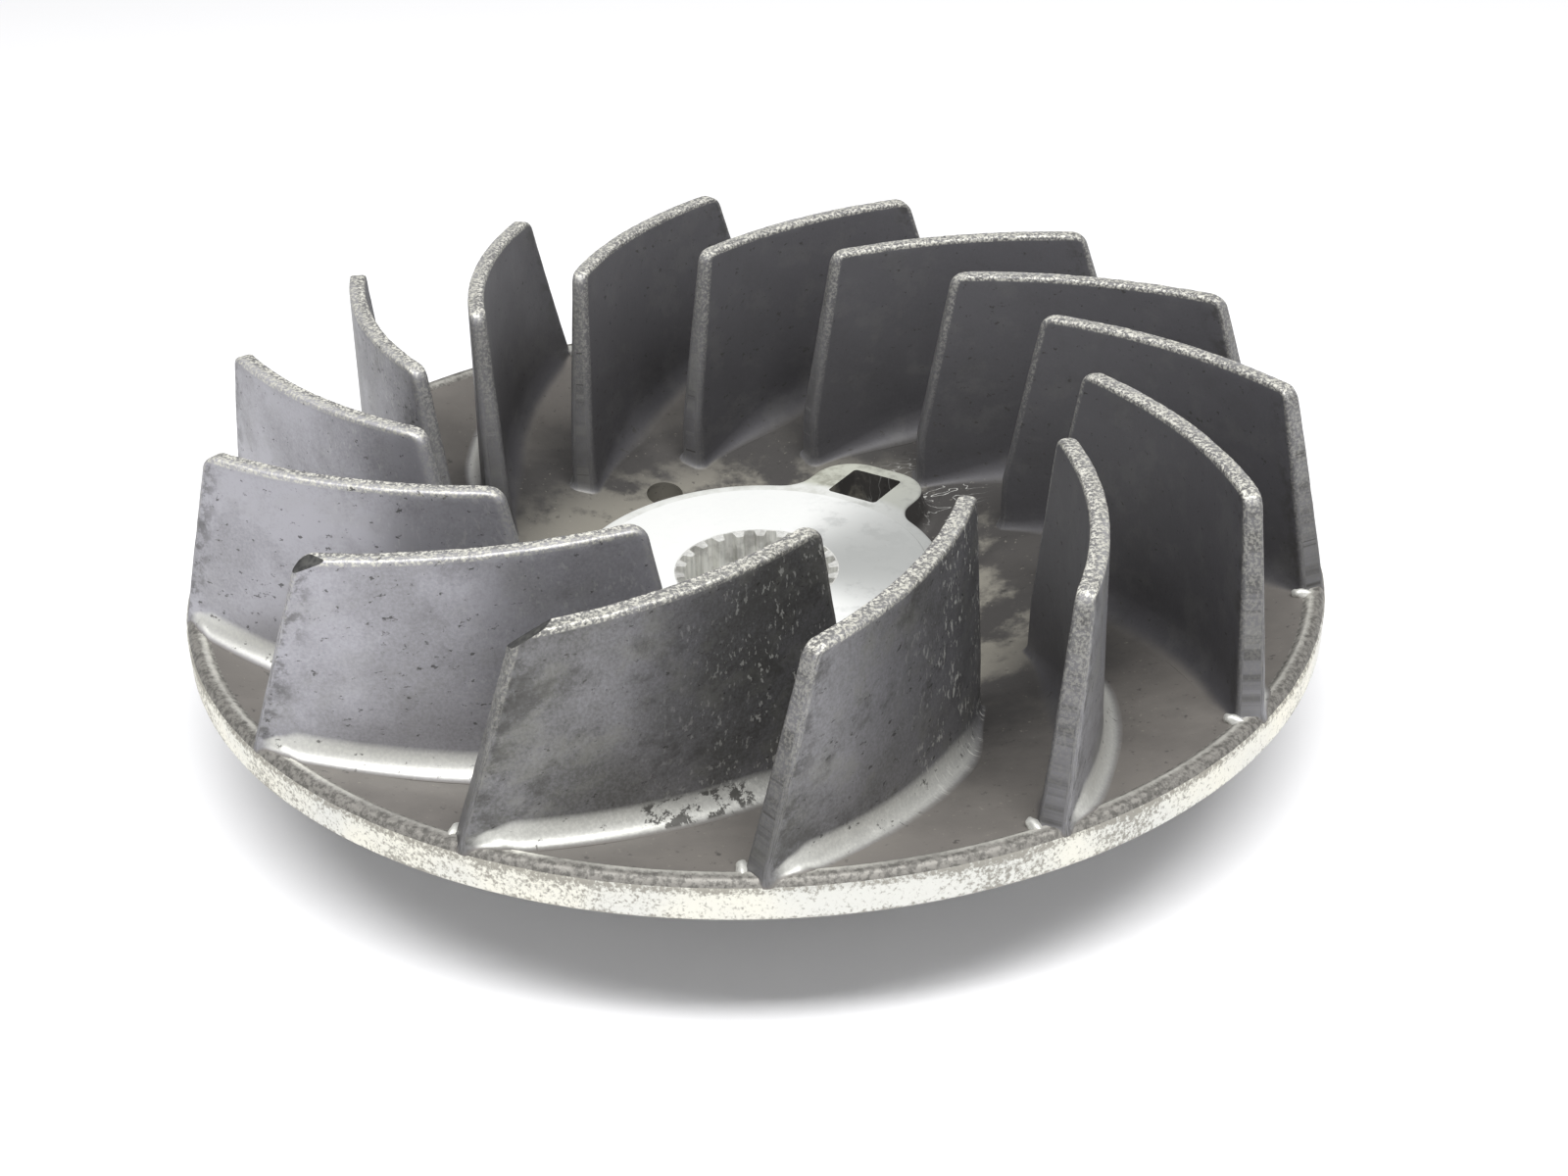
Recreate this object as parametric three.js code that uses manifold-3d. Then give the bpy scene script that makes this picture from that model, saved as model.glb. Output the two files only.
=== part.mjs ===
// Finned flywheel: a cast aluminium wheel with a 13 degree conical web, a machined rim band,
// swept cooling blades on its upper side, and a steel hub with an internal spline in its centre.
// Millimetres, +Z up. The origin is the centre of the hub's lower end, on the wheel's axis.

import * as THREE from 'three';
import { mergeVertices } from 'three/addons/utils/BufferGeometryUtils.js';
import Module from 'manifold-3d';

const wasm = await Module();
wasm.setup();

// Driving dimensions: the wheel
const discRadius = 77.5;            // outside of the machined rim band
const webAngle = 13;                // degrees, slope of the belt face and of the floor above it
const webThickness = 5.2;           // measured upright
const bandHeight = 4.0;             // machined band round the rim
const beadCrestHeight = 1.1;        // low lip round the floor, above the band
const beadSetBack = 2.7;            // from the band in to where the floor meets the lip
const beadTopOuter = 0.9;           // from the band in to the lip's outer edge
const beadTopInner = 2.0;           // from the band in to the lip's inner edge

// Driving dimensions: the steel hub and the collar round it
const splineMajorRadius = 11.4;     // bottom of the spline's grooves
const splineToothDepth = 1.2;
const splineTeeth = 22;
const splineAzimuth = 13.7;         // degrees, middle of one groove
const grooveBottomShare = 0.25;     // half the groove's bottom, as a share of the tooth pitch
const grooveMouthShare = 0.30;      // half the groove's mouth, as a share of the tooth pitch
const splineMouthWiden = 0.2;       // the bore's mouths open to just past the grooves
const splineMouthDrop = 0.3;        // depth of the mouth's cone at the teeth
const hubWall = 12.9;               // from the spline's grooves to the hub's outside
const bossWall = 8.6;               // from the spline's grooves to the lower end's outside
const bossProud = 5.2;              // the lower end stands this far below the belt face
const bossChamfer = 0.6;
const hubRise = 6.7;                // hub face above the floor beside it
const collarWall = 1.8;             // cast ring round the hub
const collarChamfer = 0.5;
const collarSetDown = 0.2;          // the cast ring lies this far under the hub's face

// Driving dimensions: the ear and the holes
const earAzimuth = 57;              // degrees, counter-clockwise from +X
const earReach = 10.3;              // beyond the cast ring
const earHalfWidth = 8.8;
const earCornerRadius = 6.4;
const earBlendRadius = 5.0;         // hollow corner where the ear meets the ring
const squareHoleWidth = 8.2;
const squareHoleSetBack = 6.7;      // from the ear's end in to the hole's centre
const balanceHoleAzimuth = 114;
const balanceHoleRadius = 2.8;
const balanceHoleDepth = 3.2;
const balanceHoleFromCollar = 9.1;  // from the cast ring out to the hole's centre

// Driving dimensions: the blades
const bladeCount = 14;
const bladeHeight = 26.6;           // flat blade tops above the band
const bladeFirstAzimuth = 151.29;   // degrees, inner top corner of blade_01
const bladeSweep = 30.42;           // degrees, the outer top corner lies this far clockwise
const bladeBow = 0.0724;            // rise of the curved blade over its chord
const bladeTipSetBack = 6.75;       // outer top corner, in from the band
const bladeFromEar = 7.8;           // inner top corner, out from the ear's end
const bladeTopThickness = 2.3;
const bladeDraft = 1.4;             // degrees on each side
const bladeCornerRadius = 1.8;
const bladeInnerFootReach = 4.8;    // foot beyond the inner top corner, along the blade
const bladeOuterFootReach = 8.8;    // foot beyond the outer top corner, along the blade

// Clearances
const joinGap = 0.3;                // between neighbouring pieces
const cutOvershoot = 6;             // how far a cutting tool runs past what it cuts

// Fineness
const roundSegments = 112;
const bladeSteps = 14;              // along the blade
const cornerSteps = 3;              // round a blade's top corner
const arcSteps = 6;                 // round a small corner

// Places worked out from the driving dimensions
const webSlope = Math.tan(THREE.MathUtils.degToRad(webAngle));
const hubRadius = splineMajorRadius + hubWall;
const bossRadius = splineMajorRadius + bossWall;
const collarRadius = hubRadius + joinGap + collarWall;
const earEnd = collarRadius + earReach;
const beltFaceHeight = (radius) => bossProud + (radius - bossRadius) * webSlope;
const floorHeight = (radius) => beltFaceHeight(radius) + webThickness;
const bandBottom = beltFaceHeight(discRadius);
const bandTop = bandBottom + bandHeight;
const hubTop = floorHeight(collarRadius) + hubRise;
const collarTop = hubTop - collarSetDown;
const bladeTop = bandTop + bladeHeight;

// Solid tools

function toSolid(geometry) {
  const bare = geometry.clone();
  bare.deleteAttribute('normal');
  bare.deleteAttribute('uv');
  const merged = mergeVertices(bare, 1e-4);
  const corners = [];
  for (let index = 0; index < merged.index.count; index += 3) {
    const [a, b, c] = merged.index.array.slice(index, index + 3);
    const hasArea = a !== b && b !== c && c !== a;
    if (hasArea) {
      corners.push(a, b, c);
    }
  }
  return new wasm.Manifold(new wasm.Mesh({
    numProp: 3,
    vertProperties: new Float32Array(merged.attributes.position.array),
    triVerts: new Uint32Array(corners),
  }));
}

function toGeometry(solid) {
  const result = solid.getMesh();
  const geometry = new THREE.BufferGeometry();
  geometry.setAttribute('position', new THREE.BufferAttribute(result.vertProperties, 3));
  geometry.setIndex(new THREE.BufferAttribute(result.triVerts, 1));
  return geometry;
}

// A closed outline of [radius, height] points, counter-clockwise, turned once round the Z axis.
function turned(outline) {
  const points = outline.map(([radius, height]) => new THREE.Vector2(radius, height));
  points.push(points[0].clone());
  const geometry = new THREE.LatheGeometry(points, roundSegments);
  geometry.rotateX(Math.PI / 2);
  return geometry;
}

function upright(shape, bottom, top) {
  const options = { depth: top - bottom, bevelEnabled: false, curveSegments: arcSteps };
  const geometry = new THREE.ExtrudeGeometry(shape, options);
  geometry.translate(0, 0, bottom);
  return geometry;
}

function part(name, geometry, color, roughness, metalness) {
  const material = new THREE.MeshStandardMaterial({ color, roughness, metalness });
  const mesh = new THREE.Mesh(geometry, material);
  mesh.name = name;
  return mesh;
}

// The cast wheel: conical web, lip, rim band, the ring round the hub and its ear

function webOutline() {
  const boreRadius = hubRadius + joinGap;
  const beadFoot = discRadius - beadSetBack;
  const beadCrest = bandTop + beadCrestHeight;
  return [
    [boreRadius, beltFaceHeight(boreRadius)],
    [discRadius, bandBottom],
    [discRadius, bandTop],
    [discRadius - beadTopOuter, beadCrest],
    [discRadius - beadTopInner, beadCrest],
    [beadFoot, floorHeight(beadFoot)],
    [collarRadius, floorHeight(collarRadius)],
    [collarRadius, collarTop - collarChamfer],
    [collarRadius - collarChamfer, collarTop],
    [boreRadius, collarTop],
  ];
}

// The ear points along +X here. Its sides meet the cast ring in hollow corners.
function earShape() {
  const side = earHalfWidth;
  const blendY = side + earBlendRadius;
  const blendX = Math.sqrt((collarRadius + earBlendRadius) ** 2 - blendY ** 2);
  const meetAngle = Math.atan2(blendY, blendX);
  const meetX = collarRadius * Math.cos(meetAngle);
  const meetY = collarRadius * Math.sin(meetAngle);
  const cornerX = earEnd - earCornerRadius;
  const cornerY = side - earCornerRadius;
  const quarter = Math.PI / 2;
  const shape = new THREE.Shape();
  shape.moveTo(meetX - collarWall, -meetY);
  shape.lineTo(meetX, -meetY);
  shape.absarc(blendX, -blendY, earBlendRadius, Math.PI - meetAngle, quarter, true);
  shape.absarc(cornerX, -cornerY, earCornerRadius, -quarter, 0, false);
  shape.absarc(cornerX, cornerY, earCornerRadius, 0, quarter, false);
  shape.absarc(blendX, blendY, earBlendRadius, -quarter, meetAngle - Math.PI, true);
  shape.lineTo(meetX - collarWall, meetY);
  return shape;
}

function squareHoleShape() {
  const centre = earEnd - squareHoleSetBack;
  const half = squareHoleWidth / 2;
  const shape = new THREE.Shape();
  shape.moveTo(centre - half, -half);
  shape.lineTo(centre + half, -half);
  shape.lineTo(centre + half, half);
  shape.lineTo(centre - half, half);
  return shape;
}

function balanceHole() {
  const radius = collarRadius + balanceHoleFromCollar;
  const azimuth = THREE.MathUtils.degToRad(balanceHoleAzimuth);
  const mouth = floorHeight(radius);
  const top = mouth + cutOvershoot;
  const bottom = mouth - balanceHoleDepth;
  const shape = new THREE.Shape();
  shape.absarc(0, 0, balanceHoleRadius, 0, 2 * Math.PI, false);
  const geometry = upright(shape, bottom, top);
  geometry.translate(radius * Math.cos(azimuth), radius * Math.sin(azimuth), 0);
  return toSolid(geometry);
}

function fanDisc() {
  const boreRadius = hubRadius + joinGap;
  const earBottom = beltFaceHeight(boreRadius) + webThickness / 2;
  const earTurn = THREE.MathUtils.degToRad(earAzimuth);
  const ear = upright(earShape(), earBottom, collarTop).rotateZ(earTurn);
  const squareHole = upright(squareHoleShape(), -cutOvershoot, hubTop + cutOvershoot).rotateZ(earTurn);
  const hubRoom = turned([[0, -cutOvershoot], [boreRadius, -cutOvershoot],
    [boreRadius, hubTop + cutOvershoot], [0, hubTop + cutOvershoot]]);
  const solid = toSolid(turned(webOutline()))
    .add(toSolid(ear))
    .subtract(toSolid(hubRoom))
    .subtract(toSolid(squareHole))
    .subtract(balanceHole());
  return part('fan_disc', toGeometry(solid), 0x8b8883, 0.55, 0.8);
}

// The steel hub: flush with the belt face below, spline right through

function splineShape() {
  const pitch = 2 * Math.PI / splineTeeth;
  const toothTip = splineMajorRadius - splineToothDepth;
  const corners = [];
  for (let tooth = 0; tooth < splineTeeth; tooth += 1) {
    const centre = THREE.MathUtils.degToRad(splineAzimuth) + tooth * pitch;
    corners.push([toothTip, centre - grooveMouthShare * pitch]);
    corners.push([splineMajorRadius, centre - grooveBottomShare * pitch]);
    corners.push([splineMajorRadius, centre + grooveBottomShare * pitch]);
    corners.push([toothTip, centre + grooveMouthShare * pitch]);
  }
  const points = corners.map(([radius, angle]) =>
    new THREE.Vector2(radius * Math.cos(angle), radius * Math.sin(angle)));
  return new THREE.Shape(points);
}

function hubOutline() {
  return [
    [0, 0],
    [bossRadius - bossChamfer, 0],
    [bossRadius, bossChamfer],
    [bossRadius, beltFaceHeight(bossRadius)],
    [hubRadius, beltFaceHeight(hubRadius)],
    [hubRadius, hubTop],
    [0, hubTop],
  ];
}

// A flat cone that opens the bore's mouth, its point in the bore. At the lower face inward is 1,
// at the upper face it is -1.
function mouthCone(face, inward) {
  const wide = splineMajorRadius + splineMouthWiden;
  const slope = splineMouthDrop / (splineToothDepth + splineMouthWiden);
  const outer = face - inward * splineMouthDrop;
  const outline = [[0, outer], [wide + splineMouthDrop / slope, outer], [0, face + inward * wide * slope]];
  return toSolid(turned(inward > 0 ? outline : outline.reverse()));
}

function splinedHub() {
  const bore = upright(splineShape(), -cutOvershoot, hubTop + cutOvershoot);
  const solid = toSolid(turned(hubOutline()))
    .subtract(toSolid(bore))
    .subtract(mouthCone(hubTop, -1))
    .subtract(mouthCone(0, 1));
  return part('splined_hub', toGeometry(solid), 0xc9c9c6, 0.35, 1.0);
}

// The blades: curved walls with draft, a raked outer edge and a leaning inner edge

function bladePath() {
  const innerRadius = earEnd + bladeFromEar;
  const outerRadius = discRadius - bladeTipSetBack;
  const sweep = THREE.MathUtils.degToRad(bladeSweep);
  const inner = new THREE.Vector2(innerRadius, 0);
  const outer = new THREE.Vector2(outerRadius * Math.cos(sweep), -outerRadius * Math.sin(sweep));
  const along = outer.clone().sub(inner);
  const chord = along.length();
  const rise = bladeBow * chord;
  const radius = (chord * chord / 4 + rise * rise) / (2 * rise);
  const bowSide = new THREE.Vector2(-along.y, along.x).normalize();
  const centre = inner.clone().add(outer).multiplyScalar(0.5).addScaledVector(bowSide, rise - radius);
  const startAngle = Math.atan2(inner.y - centre.y, inner.x - centre.x);
  const halfTurn = Math.asin(chord / 2 / radius);
  return { centre, radius, startAngle, length: 2 * halfTurn * radius };
}

// How far a blade's top corner is rounded away at a height below the flat top.
function cornerInset(drop) {
  if (drop >= bladeCornerRadius) {
    return 0;
  }
  const rise = bladeCornerRadius - drop;
  return bladeCornerRadius - Math.sqrt(bladeCornerRadius ** 2 - rise ** 2);
}

// Heights of the blade's rings of points. The lowest is under the floor, to be cut away.
function bladeLevels() {
  const levels = [floorHeight(hubRadius), bandTop, bandTop + bladeHeight / 2];
  for (let step = 0; step <= cornerSteps; step += 1) {
    const turn = (step / cornerSteps) * Math.PI / 2;
    levels.push(bladeTop - bladeCornerRadius * (1 - Math.sin(turn)));
  }
  return levels;
}

function bladeSolid() {
  const path = bladePath();
  const levels = bladeLevels();
  const draftSlope = Math.tan(THREE.MathUtils.degToRad(bladeDraft));
  const strip = new THREE.BoxGeometry(1, 1, 1, bladeSteps, 1, levels.length - 1);
  const position = strip.attributes.position;
  for (let index = 0; index < position.count; index += 1) {
    const share = position.getX(index) + 0.5;
    const side = position.getY(index) * 2;
    const level = Math.round((position.getZ(index) + 0.5) * (levels.length - 1));
    const height = levels[level];
    const drop = bladeTop - height;
    const lean = Math.min(drop / bladeHeight, 1);
    const start = cornerInset(drop) - lean * bladeInnerFootReach;
    const end = path.length - cornerInset(drop) + lean * bladeOuterFootReach;
    const distance = start + share * (end - start);
    const angle = path.startAngle - distance / path.radius;
    const radius = path.radius + side * (bladeTopThickness / 2 + drop * draftSlope);
    const x = path.centre.x + radius * Math.cos(angle);
    const y = path.centre.y + radius * Math.sin(angle);
    position.setXYZ(index, x, y, height);
  }
  return toSolid(strip).subtract(aroundBlades());
}

// All that a blade may not fill: the cast wheel with a gap above it, and the room past the lip.
function aroundBlades() {
  const beadFoot = discRadius - beadSetBack;
  const crest = bandTop + beadCrestHeight + joinGap;
  const reach = discRadius + cutOvershoot;
  const trimRadius = discRadius - beadTopOuter;
  return toSolid(turned([
    [0, -cutOvershoot],
    [reach, -cutOvershoot],
    [reach, bladeTop + cutOvershoot],
    [trimRadius, bladeTop + cutOvershoot],
    [trimRadius, crest],
    [discRadius - beadTopInner, crest],
    [beadFoot, floorHeight(beadFoot) + joinGap],
    [0, floorHeight(0) + joinGap],
  ]));
}

function blades() {
  const blade = bladeSolid();
  const pitch = 360 / bladeCount;
  const list = [];
  for (let index = 0; index < bladeCount; index += 1) {
    const name = `blade_${String(index + 1).padStart(2, '0')}`;
    const mesh = part(name, toGeometry(blade), 0x66666b, 0.5, 0.8);
    mesh.rotation.z = THREE.MathUtils.degToRad(bladeFirstAzimuth - index * pitch);
    list.push(mesh);
  }
  return list;
}

const flywheel = new THREE.Group();
flywheel.add(fanDisc(), splinedHub(), ...blades());

export default flywheel;
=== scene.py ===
import math

import bmesh
import bpy
from mathutils import Matrix, Vector, noise


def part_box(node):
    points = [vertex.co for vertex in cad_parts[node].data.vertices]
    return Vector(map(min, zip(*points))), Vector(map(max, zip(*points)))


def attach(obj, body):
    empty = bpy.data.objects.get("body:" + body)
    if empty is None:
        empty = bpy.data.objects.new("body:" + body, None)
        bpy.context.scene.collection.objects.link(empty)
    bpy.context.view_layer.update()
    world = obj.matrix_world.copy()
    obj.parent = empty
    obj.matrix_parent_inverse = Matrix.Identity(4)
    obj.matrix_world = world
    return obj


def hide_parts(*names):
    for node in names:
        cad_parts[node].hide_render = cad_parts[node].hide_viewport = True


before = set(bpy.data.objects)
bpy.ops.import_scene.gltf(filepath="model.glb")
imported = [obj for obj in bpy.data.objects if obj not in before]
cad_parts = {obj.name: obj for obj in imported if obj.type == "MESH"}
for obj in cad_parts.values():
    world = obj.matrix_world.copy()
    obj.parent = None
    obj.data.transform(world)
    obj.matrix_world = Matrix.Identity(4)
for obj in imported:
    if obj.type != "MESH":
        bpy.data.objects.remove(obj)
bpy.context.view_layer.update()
mm = 0.001  # shapes are worked out in millimetres and scaled once at the end
bpy.context.scene.view_settings.view_transform = "Standard"


def boxOf(node):
    return [Vector(corner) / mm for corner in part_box(node)]


discHigh = boxOf("fan_disc")[1]
hubHigh = boxOf("splined_hub")[1]
bladeHigh = boxOf("blade_01")[1]


# shared mesh steps

def ease(share):
    share = min(max(share, 0), 1)
    return share * share * (3 - 2 * share)


def between(low, high, share):
    return low + (high - low) * share


def onCircle(radius, turn, level):
    return Vector((radius * math.cos(turn), radius * math.sin(turn), level))


def ringShell(bm, rings):
    # one circle, extruded ring after ring, each moved to its place
    count = len(rings[0])
    verts = bmesh.ops.create_circle(bm, radius=1, segments=count)["verts"]
    made = []
    for number, ring in enumerate(rings):
        if number:
            edges = [bm.edges.get((verts[i - 1], verts[i])) for i in range(count)]
            geom = bmesh.ops.extrude_edge_only(bm, edges=edges)["geom"]
            fresh = {item for item in geom if isinstance(item, bmesh.types.BMVert)}
            verts = [next(edge.other_vert(vert) for edge in vert.link_edges
                          if edge.other_vert(vert) in fresh) for vert in verts]
        for vert, spot in zip(verts, ring):
            vert.co = spot
        made.append(verts)
    return made


def finishPiece(name, bm, materials, nodes, creaseAngle=35):
    bmesh.ops.scale(bm, vec=(mm, mm, mm), verts=bm.verts)
    mesh = bpy.data.meshes.new(name)
    bm.to_mesh(mesh)
    bm.free()
    for material in materials:
        mesh.materials.append(material)
    piece = bpy.data.objects.new(name, mesh)
    bpy.context.scene.collection.objects.link(piece)
    smoothShade(piece, creaseAngle)
    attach(piece, "root")
    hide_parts(*nodes)
    print("made", name, len(mesh.polygons), "faces")
    return piece


def smoothShade(piece, creaseAngle):
    piece.data.shade_smooth()
    piece.data.set_sharp_from_angle(angle=math.radians(creaseAngle))


def cleanUp(bm):
    bmesh.ops.remove_doubles(bm, verts=bm.verts, dist=0.001)
    bmesh.ops.recalc_face_normals(bm, faces=bm.faces)


# shared material steps

def newMaterial(name):
    material = bpy.data.materials.new(name)
    material.use_nodes = True
    return material, material.node_tree, material.node_tree.nodes["Principled BSDF"]


def feed(tree, socket, value):
    if isinstance(value, bpy.types.NodeSocket):
        tree.links.new(value, socket)
    elif isinstance(value, tuple):
        socket.default_value = (*value, 1)
    else:
        socket.default_value = value


def objectSpot(tree):
    return tree.nodes.new("ShaderNodeTexCoord").outputs["Object"]


def grain(tree, spot, size, detail=4, roughness=0.55, shift=0.0, stretch=(1, 1, 1)):
    # noise whose blotches are about size millimetres wide
    mapping = tree.nodes.new("ShaderNodeMapping")
    mapping.inputs["Location"].default_value = (shift, shift, -shift)
    mapping.inputs["Scale"].default_value = stretch
    tree.links.new(spot, mapping.inputs["Vector"])
    texture = tree.nodes.new("ShaderNodeTexNoise")
    texture.inputs["Scale"].default_value = 1 / (size * mm)
    texture.inputs["Detail"].default_value = detail
    texture.inputs["Roughness"].default_value = roughness
    tree.links.new(mapping.outputs["Vector"], texture.inputs["Vector"])
    return texture.outputs["Fac"]


def ramp(tree, value, low, high, start=0.0, end=1.0):
    node = tree.nodes.new("ShaderNodeMapRange")
    node.interpolation_type = "SMOOTHSTEP"
    feed(tree, node.inputs["Value"], value)
    node.inputs["From Min"].default_value = low
    node.inputs["From Max"].default_value = high
    node.inputs["To Min"].default_value = start
    node.inputs["To Max"].default_value = end
    return node.outputs["Result"]


def maths(tree, operation, first, second=0.0):
    node = tree.nodes.new("ShaderNodeMath")
    node.operation = operation
    feed(tree, node.inputs[0], first)
    feed(tree, node.inputs[1], second)
    return node.outputs["Value"]


def mixed(tree, share, first, second):
    node = tree.nodes.new("ShaderNodeMix")
    node.data_type = "RGBA"
    feed(tree, node.inputs["Factor"], share)
    feed(tree, node.inputs[6], first)
    feed(tree, node.inputs[7], second)
    return node.outputs[2]


def attribute(tree, name, output="Fac"):
    node = tree.nodes.new("ShaderNodeAttribute")
    node.attribute_name = name
    return node.outputs[output]


def relief(tree, shader, layers):
    # bumps from several heights, each with its strength and its depth in millimetres
    last = None
    for height, strength, depth in layers:
        bump = tree.nodes.new("ShaderNodeBump")
        bump.inputs["Strength"].default_value = strength
        bump.inputs["Distance"].default_value = depth * mm
        tree.links.new(height, bump.inputs["Height"])
        if last:
            tree.links.new(last.outputs["Normal"], bump.inputs["Normal"])
        last = bump
    tree.links.new(last.outputs["Normal"], shader.inputs["Normal"])


def paint(tree, shader, colour, roughness, metallic):
    feed(tree, shader.inputs["Base Color"], colour)
    feed(tree, shader.inputs["Roughness"], roughness)
    feed(tree, shader.inputs["Metallic"], metallic)


def apart(tree, spot):
    parts = tree.nodes.new("ShaderNodeSeparateXYZ")
    tree.links.new(spot, parts.inputs["Vector"])
    return parts.outputs


def fromAxis(tree, spot):
    # distance from the wheel's axis, in metres
    parts = apart(tree, spot)
    squares = [maths(tree, "POWER", parts[name], 2.0) for name in ("X", "Y")]
    return maths(tree, "SQRT", maths(tree, "ADD", *squares))


def turnedRings(tree, radius, step):
    # the fine rings that a lathe leaves, step millimetres apart
    return maths(tree, "SINE", maths(tree, "MULTIPLY", radius, 2 * math.pi / (step * mm)))


# the wheel, cast in one with its blades
wheel = {
    "rim": discHigh.x,
    "webAngle": 13,         # slope of the belt face and of the floor
    "webThickness": 5.2,    # measured upright
    "bandHeight": 4.0,
    "bandWear": 0.1,        # how deep the band's edges are nibbled
    "bandWearReach": 1.2,   # and how far in from them
    "beadCrest": 1.1,       # the lip's crest, above the band
    "beadFoot": 2.9,        # the lip's three places lie in from the rim
    "beadInner": 2.0,
    "beadOuter": 1.1,
    "lipRings": (2.75, 2.6, 2.45, 2.3, 2.15, 2.0, 1.55, 1.1, 0.9, 0.7, 0.5, 0.35, 0.2),
    "bandEdge": 0.12,
    "bandLowEdge": 0.3,
    "lowEdgeLift": 0.02,
    "beltOuter": 0.5,       # the belt face's first ring, in from the rim
    "beltInner": 0.3,       # and its last, out from the bore
    "collar": 26.4,         # ring round the steel hub
    "collarSetDown": 0.2,
    "collarEdge": 0.45,
    "wallDraft": 0.5,
    "wallFillet": 2.0,
    "apron": 5,             # from the ear's end out to the first ring of the floor that is a true circle
    "boreGap": 0.05,        # the fine line round the hub
    "boreEdge": 0.1,
    "floorWaves": 0.07,     # how uneven the cast floor is
    "steps": {"edge": 4, "fillet": 6, "apron": 10, "floor": 30, "band": 8, "belt": 19},
}
slope = math.tan(math.radians(wheel["webAngle"]))
bandTop = discHigh.z - wheel["beadCrest"]
bandBottom = bandTop - wheel["bandHeight"]
collarTop = hubHigh.z - wheel["collarSetDown"]

ear = {
    "azimuth": 57,
    "reach": 10.3,
    "halfWidth": 8.8,
    "corner": 6.4,
    "blend": 5.0,           # hollow corner where it meets the collar
    "hole": 8.2,            # square
    "holeCorner": 0.6,
    "holeSetBack": 6.7,     # from the ear's end to the hole's centre
    "points": {"tip": 4, "corner": 14, "side": 6, "blend": 12, "collar": 120},
}
balanceHole = {
    "azimuth": 114,
    "fromCollar": 9.1,
    "radius": 2.8,
    "depth": 3.2,
    "lift": 2,              # the cutting tool starts this far above the floor
    "segments": 48,
}


def beltFace(radius):
    return bandBottom - (wheel["rim"] - radius) * slope


def floorAt(radius):
    return beltFace(radius) + wheel["webThickness"]


def topAt(radius):
    # the floor and the lip round it, out to the band
    fromRim = wheel["rim"] - radius
    foot, inner, outer = wheel["beadFoot"], wheel["beadInner"], wheel["beadOuter"]
    crest = bandTop + wheel["beadCrest"]
    if fromRim >= foot:
        return floorAt(radius)
    if fromRim >= inner:
        low = floorAt(wheel["rim"] - foot)
        return between(low, crest, ease((foot - fromRim) / (foot - inner)))
    if fromRim >= outer:
        return crest
    return between(bandTop, crest, math.sin(math.pi / 2 * fromRim / outer))


def arcPoints(centre, radius, start, end, count):
    turns = [between(start, end, step / count) for step in range(count)]
    return [Vector((centre[0] + radius * math.cos(turn), centre[1] + radius * math.sin(turn)))
            for turn in turns]


def collarOutline(inset):
    # round the collar and its ear, counter-clockwise from the ear's end, with all sides moved in
    points = ear["points"]
    side = ear["halfWidth"] - inset
    blend = ear["blend"] + inset
    collar = wheel["collar"] - inset
    corner = ear["corner"] - inset
    end = collar + ear["reach"]
    blendY = side + blend
    blendX = math.sqrt((collar + blend) ** 2 - blendY ** 2)
    meet = math.atan2(blendY, blendX)
    cornerX, cornerY = end - corner, side - corner
    half = [Vector((end, cornerY * step / points["tip"])) for step in range(points["tip"])]
    half += arcPoints((cornerX, cornerY), corner, 0, math.pi / 2, points["corner"])
    half += [Vector((between(cornerX, blendX, step / points["side"]), side))
             for step in range(points["side"])]
    half += arcPoints((blendX, blendY), blend, -math.pi / 2, meet - math.pi, points["blend"])
    half += arcPoints((0, 0), collar, meet, math.pi, points["collar"]) + [Vector((-collar, 0))]
    mirrored = [Vector((point.x, -point.y)) for point in half[-2:0:-1]]
    turnBy = Matrix.Rotation(math.radians(ear["azimuth"]), 2)
    return [turnBy @ point for point in half + mirrored]


def turnsOf(points):
    turns = []
    for point in points:
        turn = math.atan2(point.y, point.x)
        while turns and turn < turns[-1] - math.pi:
            turn += 2 * math.pi
        turns.append(turn)
    return turns


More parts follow.
